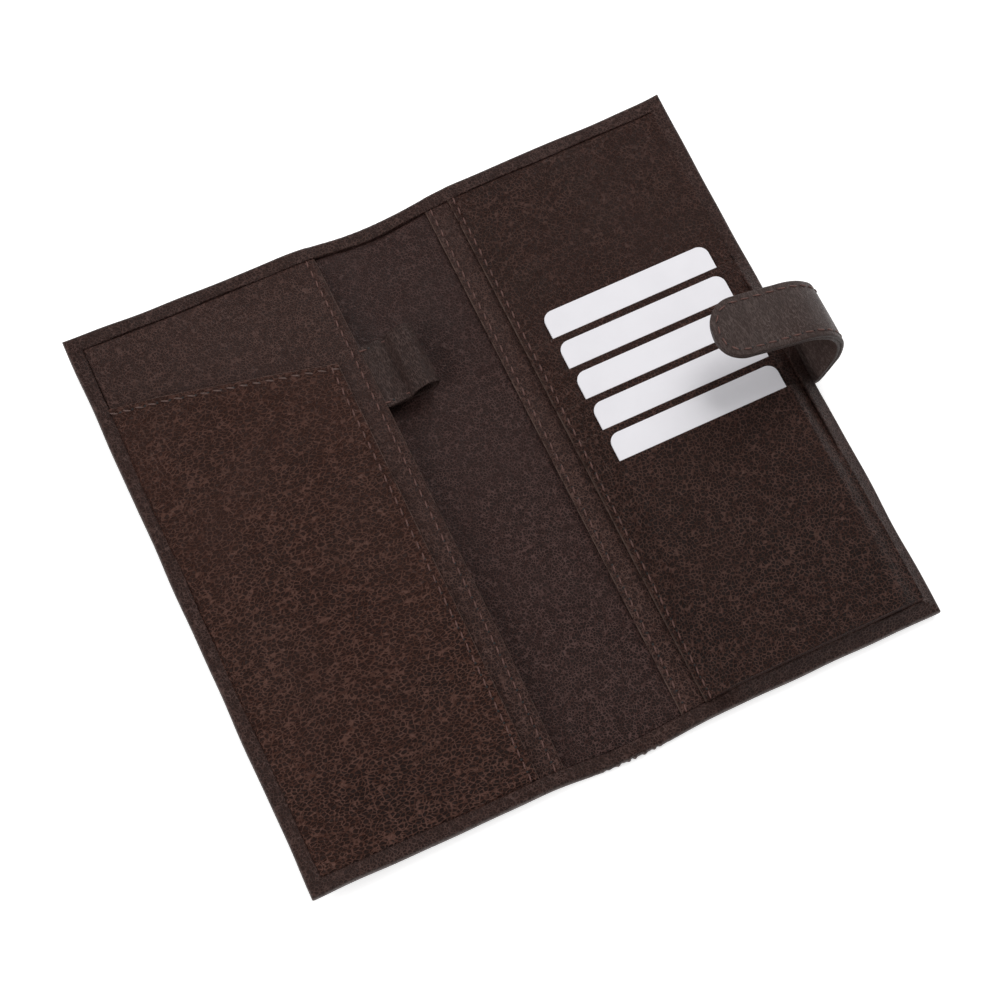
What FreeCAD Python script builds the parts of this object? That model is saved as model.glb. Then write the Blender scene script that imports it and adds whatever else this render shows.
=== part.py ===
import FreeCAD, Part
import math
import os
import Sketcher

# Bifold leather passport holder, lying open and flat on a table.
# Origin: middle of the spine at table level.
# +X to the card half, +Y to the top edge, +Z up.

doc = FreeCAD.newDocument("passport_holder")
V = FreeCAD.Vector

# ---------------------------------------------------------------- sizes, mm
sheet = doc.addObject("Spreadsheet::Sheet", "Sizes")

SIZES = [
    # outside of the open holder; its width follows from what it holds
    ("half_height", 90.7),
    ("spine_half", 9.5),
    # layers of the cover, from the table up
    ("cover_thick", 1.2),
    ("board_thick", 0.8),
    ("lining_thick", 0.6),
    ("fold_gap", 0.15),
    # edge of the cover turned in over the lining
    ("hem_width", 4.5),
    ("hem_thick", 1.2),
    ("hem_fold_gap", 1.5),
    # passport pocket on the left half
    ("pocket_lift", 4.4),
    ("pocket_thick", 1.0),
    ("pocket_edge", 19.2),
    ("pocket_seam", 2.5),
    # shorter slip pocket on top of it, with a slanted mouth
    ("front_thick", 1.0),
    ("front_edge", 27.0),
    ("front_mouth_inner", 51.0),
    ("front_mouth_outer", 64.5),
    # pen loop sewn to the free edge of the passport pocket
    ("loop_bottom", 32.0),
    ("loop_length", 21.0),
    ("loop_wide", 10.0),
    ("loop_high", 6.6),
    ("loop_wall", 0.9),
    ("loop_tab", 6.9),
    # slip panels on the right half
    ("slip_thick", 0.7),
    ("slip_edge_first", 17.3),
    ("slip_step", 7.5),
    ("slip_margin", 8.9),
    # cards and their slots
    ("card_count", 5),
    ("card_wide", 54.0),
    ("card_long", 81.4),
    ("card_thick", 0.76),
    ("card_corner", 3.18),
    ("card_inset", 5.4),
    ("card_end_gap", 0.2),
    ("card_gap", 0.1),
    ("card_side_gap", 0.3),
    ("card_shows", 8.5),
    ("mouth_step", 11.05),
    ("slot_sheet", 0.3),
    ("slot_seam", 2.6),
    ("seam_run_out", 6.0),
    ("panel_thick", 0.8),
    # closing strap at the outer edge of the right half
    ("strap_wide", 19.0),
    ("strap_skin", 1.3),
    ("strap_gap", 0.3),
    ("strap_rest", 0.7),
    ("strap_lead", 8.9),
    ("strap_rise", 57.0),
    ("strap_radius", 11.4),
    ("strap_split", 110.0),
    ("strap_fall", 180.0),
    ("strap_tail", 23.3),
    ("strap_corner", 7.5),
    # magnet in the strap and its keeper in the left cover
    ("magnet_radius", 5.0),
    ("magnet_thick", 0.8),
    ("magnet_inset", 9.0),
    ("keeper_radius", 6.0),
    ("keeper_inset", 24.0),
]

# sizes that follow from the ones above
DERIVED = [
    ("plate_top", "=cover_thick + board_thick + lining_thick"),
    ("slip_edge_second", "=slip_edge_first + slip_step"),
    ("card_left", "=slip_edge_second + slip_margin"),
    ("hem_line_x", "=card_left + card_wide + card_inset"),
    ("half_width", "=hem_line_x + hem_width"),
    ("hem_line_y", "=half_height - hem_width"),
    ("mouth_first", "=card_end_gap - hem_line_y + card_long - card_shows + (card_count - 1) * mouth_step"),
    ("mouth_last", "=mouth_first - (card_count - 1) * mouth_step"),
    ("pocket_floor", "=plate_top + pocket_lift"),
    ("front_floor", "=pocket_floor + pocket_thick"),
    ("loop_middle", "=pocket_floor + pocket_thick / 2"),
    ("slot_floor", "=plate_top + 2 * slip_thick"),
    ("slot_pitch", "=card_thick + 2 * card_gap + slot_sheet"),
    ("panel_floor", "=slot_floor + card_count * slot_pitch - slot_sheet"),
    ("sheet_left", "=card_left - card_side_gap"),
    ("sheet_right", "=card_left + card_wide + card_side_gap"),
    ("strap_root", "=half_width + strap_gap + strap_skin"),
    ("strap_level", "=strap_skin + strap_rest"),
]


def fill_sheet():
    row = 1
    for name, value in SIZES:
        sheet.set("A%d" % row, name)
        sheet.set("B%d" % row, str(value))
        sheet.setAlias("B%d" % row, name)
        row += 1
    for name, formula in DERIVED:
        sheet.set("A%d" % row, name)
        sheet.set("B%d" % row, formula)
        sheet.setAlias("B%d" % row, name)
        row += 1
    doc.recompute()


def size(name):
    return float(sheet.get(name))


def linked(text):
    """Expression text with every sheet alias given its sheet's name."""
    names = [name for name, _ in SIZES] + [name for name, _ in DERIVED]
    for name in sorted(names, key=len, reverse=True):
        text = text.replace("<%s>" % name, "Sizes.%s" % name)
    return text


fill_sheet()
CARDS = int(size("card_count"))
MADE = []


def keep(obj, label):
    obj.Label = label
    MADE.append(obj)
    return obj


# ------------------------------------------------------------ makers of form
def box(name, x, y, z):
    """Box whose low and high faces on each axis are sheet expressions."""
    solid = doc.addObject("Part::Box", name)
    for axis, side, (low, high) in zip("xyz", ("Length", "Width", "Height"), (x, y, z)):
        solid.setExpression(side, linked("(%s) - (%s)" % (high, low)))
        solid.setExpression("Placement.Base.%s" % axis, linked(low))
    return solid


def plate(label, x, y, z):
    return keep(box(label, x, y, z), label)


def disc(name, x, y, z, radius):
    solid = doc.addObject("Part::Cylinder", name)
    solid.setExpression("Radius", linked(radius))
    solid.setExpression("Height", linked("(%s) - (%s)" % (z[1], z[0])))
    solid.setExpression("Placement.Base.x", linked(x))
    solid.setExpression("Placement.Base.y", linked(y))
    solid.setExpression("Placement.Base.z", linked(z[0]))
    return solid


def cut(label, base, tool):
    result = doc.addObject("Part::Cut", label)
    result.Base = base
    result.Tool = tool
    return keep(result, label)


def body_on_plane(label, role):
    """Body with an empty sketch attached to one of its origin planes."""
    body = doc.addObject("PartDesign::Body", label)
    body.Label = label
    plane = [f for f in body.Origin.OriginFeatures if f.Role == role][0]
    sketch = body.newObject("Sketcher::SketchObject", label + "_outline")
    sketch.AttachmentSupport = [(plane, "")]
    sketch.MapMode = "FlatFace"
    return body, sketch


def pin_point(sketch, geometry, end, across, up):
    """Hold one sketch point at two sheet expressions from the origin."""
    for kind, text in (("DistanceX", across), ("DistanceY", up)):
        index = sketch.addConstraint(Sketcher.Constraint(kind, -1, 1, geometry, end, 1.0))
        sketch.setExpression("Constraints[%d]" % index, linked(text))


def polygon(sketch, corners):
    """Closed outline through corners given as pairs of sheet expressions."""
    first = sketch.GeometryCount
    count = len(corners)
    for i in range(count):
        start = V(math.cos(6.28 * i / count), math.sin(6.28 * i / count), 0)
        end = V(math.cos(6.28 * (i + 1) / count), math.sin(6.28 * (i + 1) / count), 0)
        sketch.addGeometry(Part.LineSegment(start, end))
    for i in range(count):
        after = first + (i + 1) % count
        sketch.addConstraint(Sketcher.Constraint("Coincident", first + i, 2, after, 1))
    for i, (across, up) in enumerate(corners):
        pin_point(sketch, first + i, 1, across, up)


def pad(body, sketch, length, midplane=False, reverse=False):
    feature = body.newObject("PartDesign::Pad", sketch.Name.replace("outline", "pad"))
    feature.Profile = sketch
    feature.setExpression("Length", linked(length))
    feature.Midplane = midplane
    feature.Reversed = reverse
    body.Tip = feature
    return feature


# --------------------------------------------------------------- cover plates
LEFT = ("-<half_width>", "-<spine_half> - <fold_gap>")
SPINE = ("-<spine_half> + <fold_gap>", "<spine_half> - <fold_gap>")
RIGHT = ("<spine_half> + <fold_gap>", "<half_width>")
FULL = ("-<half_height>", "<half_height>")
COVER = ("0", "<cover_thick>")
BOARD = ("<cover_thick>", "<cover_thick> + <board_thick>")
LINING = ("<cover_thick> + <board_thick>", "<plate_top>")
KEEPER_X = "-<half_width> + <keeper_inset>"


def make_covers():
    """Outer leather in three parts: left half, spine strip, right half."""
    for name, across in (("left", LEFT), ("spine", SPINE), ("right", RIGHT)):
        plate("cover_" + name, across, FULL, COVER)
        plate("lining_" + name, across, FULL, LINING)
    plate("board_right", RIGHT, FULL, BOARD)
    plate("stay_spine", SPINE, FULL, BOARD)
    blank = box("board_left_blank", LEFT, FULL, BOARD)
    hole = disc("board_left_hole", KEEPER_X, "0", BOARD, "<keeper_radius>")
    cut("board_left", blank, hole)
    keep(disc("keeper_plate", KEEPER_X, "0", BOARD, "<keeper_radius>"), "keeper_plate")


def make_hems():
    """Cover edge turned in over the lining on all four sides."""
    level = ("<plate_top>", "<plate_top> + <hem_thick>")
    top = ("<hem_line_y>", "<half_height>")
    bottom = ("-<half_height>", "-<hem_line_y>")
    plate("hem_left_side", ("-<half_width>", "-<hem_line_x>"), FULL, level)
    plate("hem_right_side", ("<hem_line_x>", "<half_width>"), FULL, level)
    left = ("-<hem_line_x>", "-<spine_half> - <hem_fold_gap>")
    spine = ("-<spine_half> + <hem_fold_gap>", "<spine_half> - <hem_fold_gap>")
    right = ("<spine_half> + <hem_fold_gap>", "<hem_line_x>")
    for name, across in (("left", left), ("spine", spine), ("right", right)):
        plate("hem_%s_top" % name, across, top, level)
        plate("hem_%s_bottom" % name, across, bottom, level)


# ------------------------------------------------------------------ left half
def make_passport_pocket():
    """Tall pocket open towards the spine, held off the lining by three seams."""
    rise = ("<plate_top>", "<pocket_floor>")
    across = ("-<hem_line_x>", "-<pocket_edge>")
    seam_x = ("-<hem_line_x>", "-<hem_line_x> + <pocket_seam>")
    seam_top = ("<hem_line_y> - <pocket_seam>", "<hem_line_y>")
    seam_bottom = ("-<hem_line_y>", "-<hem_line_y> + <pocket_seam>")
    between = ("-<hem_line_y> + <pocket_seam>", "<hem_line_y> - <pocket_seam>")
    plate("pocket_seam_top", across, seam_top, rise)
    plate("pocket_seam_bottom", across, seam_bottom, rise)
    plate("pocket_seam_side", seam_x, between, rise)
    tall = ("-<hem_line_y>", "<hem_line_y>")
    plate("pocket_panel", across, tall, ("<pocket_floor>", "<front_floor>"))


def make_front_pocket():
    """Slip pocket lying on the tall one, its mouth slanted to the outer edge."""
    body, sketch = body_on_plane("front_pocket", "XY_Plane")
    polygon(sketch, [
        ("-<hem_line_x>", "-<hem_line_y>"),
        ("-<front_edge>", "-<hem_line_y>"),
        ("-<front_edge>", "<front_mouth_inner>"),
        ("-<hem_line_x>", "<front_mouth_outer>"),
    ])
    pad(body, sketch, "<front_thick>")
    body.setExpression("Placement.Base.z", linked("<front_floor>"))
    keep(body, "front_pocket")


def make_pen_loop():
    """Flat tab on the pocket's edge leading to a flattened tube for a pen."""
    body, sketch = body_on_plane("pen_loop", "XZ_Plane")
    middle = "-<pocket_edge> + <loop_tab> + <loop_wide> / 2"
    reach = "(<loop_wide> - <loop_high>) / 2"
    outer = "<loop_high> / 2"
    for radius in (outer, outer + " - <loop_wall>"):
        tube_outline(sketch, middle, reach, radius)
    pad(body, sketch, "<loop_length>")
    tab = body.newObject("Sketcher::SketchObject", "pen_loop_tab_outline")
    tab.AttachmentSupport = [(sketch.AttachmentSupport[0][0], "")]
    tab.MapMode = "FlatFace"
    near = "-<pocket_edge> + <loop_tab> + <loop_wall> / 2"
    polygon(tab, [
        ("-<pocket_edge>", "<pocket_floor>"),
        (near, "<pocket_floor>"),
        (near, "<front_floor>"),
        ("-<pocket_edge>", "<front_floor>"),
    ])
    pad(body, tab, "<loop_length>")
    body.setExpression("Placement.Base.y", linked("<loop_bottom> + <loop_length>"))
    keep(body, "pen_loop")


def tube_outline(sketch, middle, reach, radius):
    """Flattened circle: two half circles joined by two level lines."""
    first = sketch.GeometryCount
    right = Part.Circle(V(1, 0, 0), V(0, 0, 1), 2)
    left = Part.Circle(V(-1, 0, 0), V(0, 0, 1), 2)
    sketch.addGeometry(Part.ArcOfCircle(right, -math.pi / 2, math.pi / 2))
    sketch.addGeometry(Part.LineSegment(V(1, 2, 0), V(-1, 2, 0)))
    sketch.addGeometry(Part.ArcOfCircle(left, math.pi / 2, 3 * math.pi / 2))
    sketch.addGeometry(Part.LineSegment(V(-1, -2, 0), V(1, -2, 0)))
    for i in range(4):
        after = first + (i + 1) % 4
        sketch.addConstraint(Sketcher.Constraint("Coincident", first + i, 2, after, 1))
    for arc in (first, first + 2):
        sketch.addConstraint(Sketcher.Constraint("Vertical", arc, 1, arc, 3))
        sketch.addConstraint(Sketcher.Constraint("Vertical", arc, 2, arc, 3))
    pin_point(sketch, first, 3, "%s + %s" % (middle, reach), "<loop_middle>")
    pin_point(sketch, first + 2, 3, "%s - %s" % (middle, reach), "<loop_middle>")
    sketch.addConstraint(Sketcher.Constraint("Equal", first, first + 2))
    index = sketch.addConstraint(Sketcher.Constraint("Radius", first, 2.0))
    sketch.setExpression("Constraints[%d]" % index, linked(radius))


# ----------------------------------------------------------------- right half
def make_slip_panels():
    """Two full-height panels open towards the spine, one lying on the other."""
    tall = ("-<hem_line_y>", "<hem_line_y>")
    step = "<plate_top> + <slip_thick>"
    plate("slip_panel_first", ("<slip_edge_first>", "<hem_line_x>"), tall, ("<plate_top>", step))
    plate("slip_panel_second", ("<slip_edge_second>", "<hem_line_x>"), tall, (step, "<slot_floor>"))


def make_slot_seams():
    """Side seams of the card slots, thinning out above the last mouth."""
    last = "<mouth_last>"
    start = "<mouth_first> + <seam_run_out>"
    for name, low in (("left", "<sheet_left> - <slot_seam>"), ("right", "<sheet_right>")):
        label = "slot_seam_" + name
        body, sketch = body_on_plane(label, "YZ_Plane")
        polygon(sketch, [
            ("-<hem_line_y>", "<slot_floor>"),
            (start, "<slot_floor>"),
            (last, "<panel_floor>"),
            ("-<hem_line_y>", "<panel_floor>"),
        ])
        pad(body, sketch, "<slot_seam>")
        body.setExpression("Placement.Base.x", linked(low))
        keep(body, label)


def make_slots():
    """A thin sheet over each card, and the leather panel over the last one."""
    across = ("<sheet_left>", "<sheet_right>")
    for i in range(1, CARDS):
        mouth = "<mouth_first> - %d * <mouth_step>" % (i - 1)
        top = "<slot_floor> + %d * <slot_pitch>" % i
        plate("slot_sheet_%d" % i, across, ("-<hem_line_y>", mouth), (top + " - <slot_sheet>", top))
    wide = ("<sheet_left> - <slot_seam>", "<sheet_right> + <slot_seam>")
    mouth = "<mouth_last>"
    level = ("<panel_floor>", "<panel_floor> + <panel_thick>")
    plate("card_panel", wide, ("-<hem_line_y>", mouth), level)


def make_cards():
    """Plain cards with rounded corners, one in each slot."""
    for i in range(1, CARDS + 1):
        label = "card_%d" % i
        body, sketch = body_on_plane(label, "XY_Plane")
        right = "<card_left> + <card_wide>"
        top = "<mouth_first> - %d * <mouth_step> + <card_shows>" % (i - 1)
        bottom = top + " - <card_long>"
        polygon(sketch, [("<card_left>", bottom), (right, bottom), (right, top), ("<card_left>", top)])
        block = pad(body, sketch, "<card_thick>")
        doc.recompute()
        upright = []
        for number, edge in enumerate(block.Shape.Edges, 1):
            ends = [vertex.Point for vertex in edge.Vertexes]
            if abs(ends[0].z - ends[1].z) > 0.1:
                upright.append("Edge%d" % number)
        corners = body.newObject("PartDesign::Fillet", label + "_corners")
        corners.Base = (block, upright)
        corners.setExpression("Radius", linked("<card_corner>"))
        body.Tip = corners
        floor = "<slot_floor> + %d * <slot_pitch> + <card_gap>" % (i - 1)
        body.setExpression("Placement.Base.z", linked(floor))
        keep(body, label)


# ---------------------------------------------------------------------- strap
def strap_path():
    """Where the strap's middle surface starts, turns, splits and ends (X-Z)."""
    rise = math.radians(size("strap_rise"))
    lead = size("strap_lead")
    radius = size("strap_radius")
    start = V(size("strap_root"), -size("strap_wide") / 2, size("strap_level"))
    along = V(math.cos(rise), 0, math.sin(rise))
    bend = start + along * lead
    centre = bend + V(-math.sin(rise), 0, math.cos(rise)) * radius
    return start, along, bend, centre


def on_bend(centre, heading, radius):
    """Point of the bend where the strap runs at the given heading."""
    angle = math.radians(heading - 90)
    return centre + V(math.cos(angle), 0, math.sin(angle)) * radius


def bend_arc(centre, low, high, radius):
    middle = on_bend(centre, (low + high) / 2, radius)
    return Part.Arc(on_bend(centre, low, radius), middle, on_bend(centre, high, radius)).toShape()


def line(start, end):
    return Part.makeLine(start, end)


def band(edges):
    """Solid of the strap's width from a closed outline in the X-Z plane."""
    face = Part.Face(Part.Wire(Part.__sortEdges__(edges)))
    return face.extrude(V(0, size("strap_wide"), 0))


def put(label, shape):
    piece = doc.addObject("Part::Feature", label)
    piece.Shape = shape
    piece.Placement = FreeCAD.Placement()
    return keep(piece, label)


def make_strap_root():
    """Lower part of the strap, from the cover's outer edge round the bend."""
    start, along, bend, centre = strap_path()
    radius = size("strap_radius")
    rise = size("strap_rise")
    split = size("strap_split")
    for label, side in (("strap_root_face", 1), ("strap_root_lining", -1)):
        off = V(along.z, 0, -along.x) * size("strap_skin") * side
        far = radius + size("strap_skin") * side
        middle = on_bend(centre, split, radius)
        edge = on_bend(centre, split, far)
        cap = quarter(start, off, V(-along.x, 0, -along.z) * size("strap_skin"))
        ahead = V(math.cos(math.radians(split)), 0, math.sin(math.radians(split)))
        end = quarter(middle, edge - middle, ahead * size("strap_skin"))
        edges = [
            cap[0],
            line(start + off, bend + off),
            bend_arc(centre, rise, split, far),
            end[0],
            line(end[1], middle),
            bend_arc(centre, rise, split, radius),
            line(start, bend),
            line(start, cap[1]),
        ]
        put(label, band(edges))


def quarter(centre, side, ahead):
    """Quarter circle from the side of a strap layer to its rounded end."""
    middle = centre + (side + ahead) * math.sqrt(0.5)
    arc = Part.Arc(centre + side, middle, centre + ahead).toShape()
    return arc, centre + ahead


def make_strap_tip():
    """Free part of the strap: top of the bend and the rounded flat tongue."""
    start, along, bend, centre = strap_path()
    radius = size("strap_radius")
    skin = size("strap_skin")
    clear = math.degrees((skin + size("strap_gap")) / radius)
    low = size("strap_split") + clear
    high = size("strap_fall")
    ahead = V(math.cos(math.radians(high)), 0, math.sin(math.radians(high)))
    tail = ahead * size("strap_tail")
    magnet = magnet_solid(centre, high, ahead)
    for label, side in (("strap_tip_face", 1), ("strap_tip_lining", -1)):
        far = radius + skin * side
        near_edge = on_bend(centre, high, radius)
        far_edge = on_bend(centre, high, far)
        edges = [
            bend_arc(centre, low, high, radius),
            bend_arc(centre, low, high, far),
            line(on_bend(centre, low, radius), on_bend(centre, low, far)),
            line(near_edge, near_edge + tail),
            line(far_edge, far_edge + tail),
            line(near_edge + tail, far_edge + tail),
        ]
        solid = rounded_end(band(edges), near_edge + tail, ahead)
        if side > 0:
            solid = solid.cut(magnet)
        put(label, solid)
    put("strap_magnet", magnet)


def magnet_solid(centre, heading, ahead):
    """Thin disc sunk into the strap's face layer, near the strap's end."""
    out = V(math.sin(math.radians(heading)), 0, -math.cos(math.radians(heading)))
    spot = on_bend(centre, heading, size("strap_radius"))
    spot = spot + ahead * (size("strap_tail") - size("magnet_inset"))
    spot.y = 0
    return Part.makeCylinder(size("magnet_radius"), size("magnet_thick"), spot, out)


def rounded_end(solid, end, ahead):
    """Round the two corners at the strap's end."""
    corner = size("strap_corner")
    half = size("strap_wide") / 2
    deep = V(0, 0, 4 * size("strap_skin"))
    past = size("strap_gap")
    for side in (1, -1):
        tip = V(end.x, side * half, end.z - deep.z / 2)
        inner = V(end.x - ahead.x * corner, side * (half - corner), end.z - deep.z / 2)
        low = V(min(tip.x, inner.x) - past, min(tip.y, inner.y), tip.z)
        if side > 0:
            block = Part.makeBox(corner + past, corner + past, deep.z, low)
        else:
            block = Part.makeBox(corner + past, corner + past, deep.z, low - V(0, past, 0))
        block = block.cut(Part.makeCylinder(corner, deep.z, inner))
        solid = solid.cut(block)
    return solid


# ---------------------------------------------------------------------- build
make_covers()
make_hems()
make_passport_pocket()
make_front_pocket()
make_pen_loop()
make_slip_panels()
make_slot_seams()
make_slots()
make_cards()
doc.recompute()
make_strap_root()
make_strap_tip()
doc.recompute()

for obj in doc.Objects:
    if "Invalid" in obj.State or "Error" in obj.State:
        raise RuntimeError("%s did not compute" % obj.Label)

os.makedirs("parts", exist_ok=True)
for obj in MADE:
    shape = obj.Shape
    if shape.isNull() or not shape.isValid() or len(shape.Solids) != 1:
        raise RuntimeError("%s is not one valid solid" % obj.Label)
    shape.exportStep("parts/%s.step" % obj.Label)
    bounds = shape.BoundBox
    print("%-20s x %7.2f %7.2f  y %7.2f %7.2f  z %6.2f %6.2f" % (
        obj.Label, bounds.XMin, bounds.XMax, bounds.YMin, bounds.YMax, bounds.ZMin, bounds.ZMax))
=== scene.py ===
import math

import bmesh
import bpy
import numpy as np
from mathutils import Matrix, Vector


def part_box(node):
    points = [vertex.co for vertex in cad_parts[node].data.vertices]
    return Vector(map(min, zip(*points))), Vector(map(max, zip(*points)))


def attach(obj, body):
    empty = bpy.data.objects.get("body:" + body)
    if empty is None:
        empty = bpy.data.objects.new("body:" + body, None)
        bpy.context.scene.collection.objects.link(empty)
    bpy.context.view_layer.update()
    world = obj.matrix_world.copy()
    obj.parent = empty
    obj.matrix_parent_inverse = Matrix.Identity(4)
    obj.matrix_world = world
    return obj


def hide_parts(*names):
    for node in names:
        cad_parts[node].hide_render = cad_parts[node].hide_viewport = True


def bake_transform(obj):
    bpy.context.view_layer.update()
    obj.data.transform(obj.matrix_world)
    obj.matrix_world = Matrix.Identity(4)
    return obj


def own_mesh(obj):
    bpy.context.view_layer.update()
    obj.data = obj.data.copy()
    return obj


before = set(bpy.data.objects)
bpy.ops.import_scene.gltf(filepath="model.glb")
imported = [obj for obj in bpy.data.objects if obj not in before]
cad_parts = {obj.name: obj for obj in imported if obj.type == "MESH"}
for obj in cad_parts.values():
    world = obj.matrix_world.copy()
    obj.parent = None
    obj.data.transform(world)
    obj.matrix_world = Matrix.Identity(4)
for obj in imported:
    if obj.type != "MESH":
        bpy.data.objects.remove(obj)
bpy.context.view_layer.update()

# ------------------------------------------------------------------ the table
# A plain white table top under broad soft light, looked down on from a steep angle.
# The camera comes first, so that every piece can be judged as it is added.
MM = 0.001

camera_azimuth = math.radians(-25.30)
camera_height = math.radians(70.62)
camera_distance = 744.2 * MM
camera_target = Vector((-1.04, -5.71, 0.0)) * MM
camera_lens = 92.2
towards_camera = Vector((
    math.sin(camera_azimuth) * math.cos(camera_height),
    -math.cos(camera_azimuth) * math.cos(camera_height),
    math.sin(camera_height),
))
rightwards = Vector((math.cos(camera_azimuth), math.sin(camera_azimuth), 0.0))
upwards = towards_camera.cross(rightwards)
camera = bpy.data.objects.new("camera", bpy.data.cameras.new("camera"))
camera.data.lens = camera_lens
camera.data.clip_start = 0.01
camera.matrix_world = Matrix.Translation(camera_target + towards_camera * camera_distance) @ Matrix((
    (rightwards.x, upwards.x, towards_camera.x),
    (rightwards.y, upwards.y, towards_camera.y),
    (rightwards.z, upwards.z, towards_camera.z),
)).to_4x4()
bpy.context.collection.objects.link(camera)
bpy.context.scene.camera = camera
bpy.context.scene.view_settings.view_transform = "Standard"

world = bpy.data.worlds.new("studio")
world.use_nodes = True
world.node_tree.nodes["Background"].inputs["Color"].default_value = (1.0, 1.0, 1.0, 1.0)
world.node_tree.nodes["Background"].inputs["Strength"].default_value = 0.26
bpy.context.scene.world = world


def soft_light(name, place, size, power):
    """Square soft light that points at the middle of the table."""
    lamp = bpy.data.objects.new(name, bpy.data.lights.new(name, "AREA"))
    lamp.data.size = size
    lamp.data.energy = power
    lamp.location = place
    lamp.rotation_euler = Vector(place).to_track_quat("Z", "Y").to_euler()
    bpy.context.collection.objects.link(lamp)


soft_light("high_right", (1.43, 1.30, 1.74), 1.90, 52.0)
soft_light("low_left", (-1.85, -0.27, 1.17), 1.30, 30.0)

table = bpy.data.objects.new("table", bpy.data.meshes.new("table"))
reach = 3.0
table.data.from_pydata(
    [(-reach, -reach, 0), (reach, -reach, 0), (reach, reach, 0), (-reach, reach, 0)],
    [],
    [(0, 1, 2, 3)],
)
table_paint = bpy.data.materials.new("table_white")
table_paint.use_nodes = True
for key, value in (
    ("Base Color", (0.93, 0.93, 0.93, 1)), ("Roughness", 0.9), ("Emission Color", (1, 1, 1, 1)),
    ("Emission Strength", 0.55), ("Specular IOR Level", 0.1),
):
    table_paint.node_tree.nodes["Principled BSDF"].inputs[key].default_value = value
table.data.materials.append(table_paint)
bpy.context.collection.objects.link(table)


# ---------------------------------------------------------------- outer cover
# The cover is one skin of soft full-grain leather over thin boards, turned in all round
# as a glued hem. It is gathered where the hem crosses the spine, and its corners curl.
def corners(node):
    """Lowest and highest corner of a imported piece, in millimetres."""
    low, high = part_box(node)
    return Vector(low) / MM, Vector(high) / MM


half_width = -corners("cover_left")[0].x
half_height = corners("cover_left")[1].y
hem_wide = half_width + corners("hem_left_side")[1].x
hem_line_x = half_width - hem_wide
hem_line_y = half_height - hem_wide
fold_x = (corners("cover_right")[0].x + corners("cover_spine")[1].x) / 2
pocket_edge = corners("pocket_panel")[1].x
front_edge = corners("front_pocket")[1].x
front_high = corners("front_pocket")[1].y + 1.9
slip_first = corners("slip_panel_first")[0].x
slip_second = corners("slip_panel_second")[0].x
card_low = corners("card_1")[0]
card_high = corners("card_1")[1]
hem_top = 3.2
cut_edge = 1.3
front_drop = 16.0


def ease(value, low, high):
    """Smooth step from 0 at low to 1 at high."""
    share = np.clip((value - low) / (high - low), 0, 1)
    return share * share * (3 - 2 * share)


def ripple(x, y, seed, span):
    """Unevenness of soft leather, about -1 to 1, in waves of about the given span."""
    draw = np.random.default_rng(seed)
    total = 0
    for _ in range(6):
        way = draw.uniform(0, 2 * np.pi)
        phase = draw.uniform(0, 2 * np.pi)
        wave = span * draw.uniform(0.7, 1.6)
        total = total + np.sin((x * np.cos(way) + y * np.sin(way)) * 2 * np.pi / wave + phase)
    return total / 3


def rounded(inward, radius):
    """How far a face has dropped at a distance inward from its rounded edge."""
    short = np.clip(radius - inward, 0, radius)
    return radius - np.sqrt(radius * radius - short * short)


def arch(x):
    """Both covers stand a little off the table on each side of the spine."""
    return 1.5 * ease(np.abs(x), 9, 30)


def lift(x, y):
    """Arch of the covers and the curl of their four corners."""
    right_curl = np.where(y > 0, 1.5, -1.0)
    left_curl = np.where(y > 0, 5.0, 4.0)
    curl = np.where(x > 0, right_curl, left_curl)
    # The top right corner curls only beyond the cards, which slide out past it.
    past_cards = np.clip((x - 88) / 9.6, 0, None) ** 2
    outward = np.where((x > 0) & (y > 0), past_cards, np.clip((np.abs(x) - 30) / 68, 0, None) ** 2)
    endward = np.clip((np.abs(y) - 40) / 51, 0, None) ** 2
    return arch(x) + curl * outward * endward


def pull(x, y):
    """The spine drags both ends of the leather a little towards its lower end."""
    upper = -1.5 * np.exp(-((x / 13) ** 2)) * ease(y, 40, half_height)
    lower = -1.1 * np.exp(-((x / 15) ** 2)) * ease(-y, 40, half_height)
    return upper + lower


def spread(low, high, step, more=()):
    """Grid lines from low to high, closer at both rounded edges."""
    edge = np.array([0, 0.08, 0.2, 0.4, 0.65, 1.0])
    count = max(2, round((high - low - 2) / step) + 1)
    lines = [low + edge, np.linspace(low + 1, high - 1, count), high - edge, np.array(more)]
    lines = np.unique(np.round(np.concatenate(lines), 3))
    return lines[(lines >= low - 0.001) & (lines <= high + 0.001)]


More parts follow.
